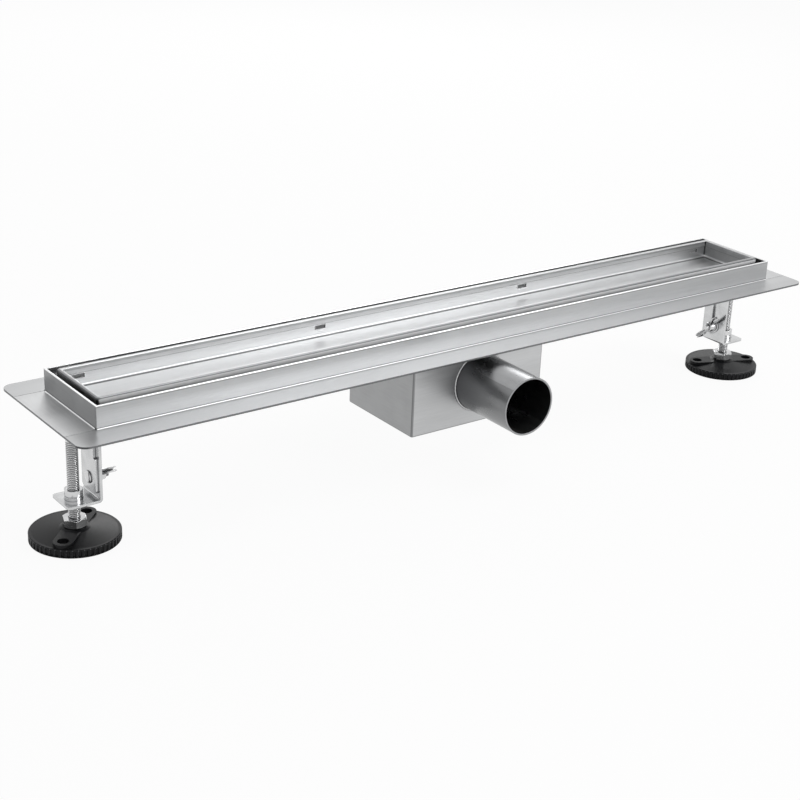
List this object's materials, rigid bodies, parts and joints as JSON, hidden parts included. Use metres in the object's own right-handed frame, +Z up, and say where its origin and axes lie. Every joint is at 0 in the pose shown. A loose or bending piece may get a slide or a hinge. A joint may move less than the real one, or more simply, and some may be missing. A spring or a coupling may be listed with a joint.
{
  "type": "linear shower drain",
  "caption": "Long stainless shower channel with a tile insert tray, flat bonding flange, side outlet from a sump box with a water trap, and feet that adjust in height.",
  "frame": {"origin": "middle of the overall footprint, on the floor under the foot pads", "axes": "X along the drain, Y from the outlet side to the back, Z up"},
  "size_m": [0.77, 0.179, 0.125],
  "materials": {
    "brushed_sheet": "brushed stainless steel sheet",
    "zinc": "bright zinc plating",
    "black_plastic": "satin black moulded plastic",
    "grey_plastic": "plain grey moulded plastic",
    "black_rubber": "black rubber"
  },
  "bodies": {
    "drain": {"frame_front": "brushed_sheet", "frame_back": "brushed_sheet", "frame_left_end": "brushed_sheet", "frame_right_end": "brushed_sheet", "tile_tray": "brushed_sheet", "tray_rests": "black_rubber", "trough": "brushed_sheet", "sump_box": "brushed_sheet", "outlet_stub": "brushed_sheet", "trap_insert": "grey_plastic", "trap_seal": "black_rubber", "trap_cup": "grey_plastic", "hair_strainer": "brushed_sheet", "left_hanger": "zinc", "left_clamp_bolt": "zinc", "right_hanger": "zinc", "right_clamp_bolt": "zinc"},
    "left_bracket": {"left_bracket": "zinc", "left_bush": "zinc"},
    "left_foot": {"left_foot_pad": "black_plastic"},
    "left_screw": {"left_foot_screw": "zinc", "left_screw_nut": "zinc"},
    "left_washer": {"left_washer": "zinc"},
    "left_wing_nut": {"left_wing_nut": "zinc"},
    "right_bracket": {"right_bracket": "zinc", "right_bush": "zinc"},
    "right_foot": {"right_foot_pad": "black_plastic"},
    "right_screw": {"right_foot_screw": "zinc", "right_screw_nut": "zinc"},
    "right_washer": {"right_washer": "zinc"},
    "right_wing_nut": {"right_wing_nut": "zinc"}
  },
  "joints": [
    {"name": "left_bracket_slide", "type": "slide", "parent": "drain", "child": "left_bracket", "axis": [0, 0, -1], "range_m": [0, 0.03]},
    {"name": "left_screw_travel", "type": "slide", "parent": "left_bracket", "child": "left_foot", "axis": [0, 0, -1], "range_m": [-0.009, 0.03]},
    {"name": "left_screw_turn", "type": "hinge", "parent": "left_foot", "child": "left_screw", "pos_m": [-0.35, 0.0215, 0.0105], "axis": [0, 0, -1], "range_deg": [-2160, 7200]},
    {"name": "left_washer_slide", "type": "slide", "parent": "drain", "child": "left_washer", "axis": [1, 0, 0], "range_m": [0, 0.003]},
    {"name": "left_wing_nut_turn", "type": "hinge", "parent": "left_washer", "child": "left_wing_nut", "pos_m": [-0.3314, 0.0215, 0.0475], "axis": [1, 0, 0], "range_deg": [0, 1080]},
    {"name": "right_bracket_slide", "type": "slide", "parent": "drain", "child": "right_bracket", "axis": [0, 0, -1], "range_m": [0, 0.03]},
    {"name": "right_screw_travel", "type": "slide", "parent": "right_bracket", "child": "right_foot", "axis": [0, 0, -1], "range_m": [-0.009, 0.03]},
    {"name": "right_screw_turn", "type": "hinge", "parent": "right_foot", "child": "right_screw", "pos_m": [0.35, 0.0215, 0.0105], "axis": [0, 0, -1], "range_deg": [-2160, 7200]},
    {"name": "right_washer_slide", "type": "slide", "parent": "drain", "child": "right_washer", "axis": [-1, 0, 0], "range_m": [0, 0.003]},
    {"name": "right_wing_nut_turn", "type": "hinge", "parent": "right_washer", "child": "right_wing_nut", "pos_m": [0.3314, 0.0215, 0.0475], "axis": [-1, 0, 0], "range_deg": [0, 1080]}
  ],
  "couplings": [
    {"joint": "left_screw_turn", "follows": "left_screw_travel", "rad_per_m": 4188.8},
    {"joint": "left_wing_nut_turn", "follows": "left_washer_slide", "rad_per_m": 6283.2},
    {"joint": "right_screw_turn", "follows": "right_screw_travel", "rad_per_m": 4188.8},
    {"joint": "right_wing_nut_turn", "follows": "right_washer_slide", "rad_per_m": 6283.2}
  ]
}
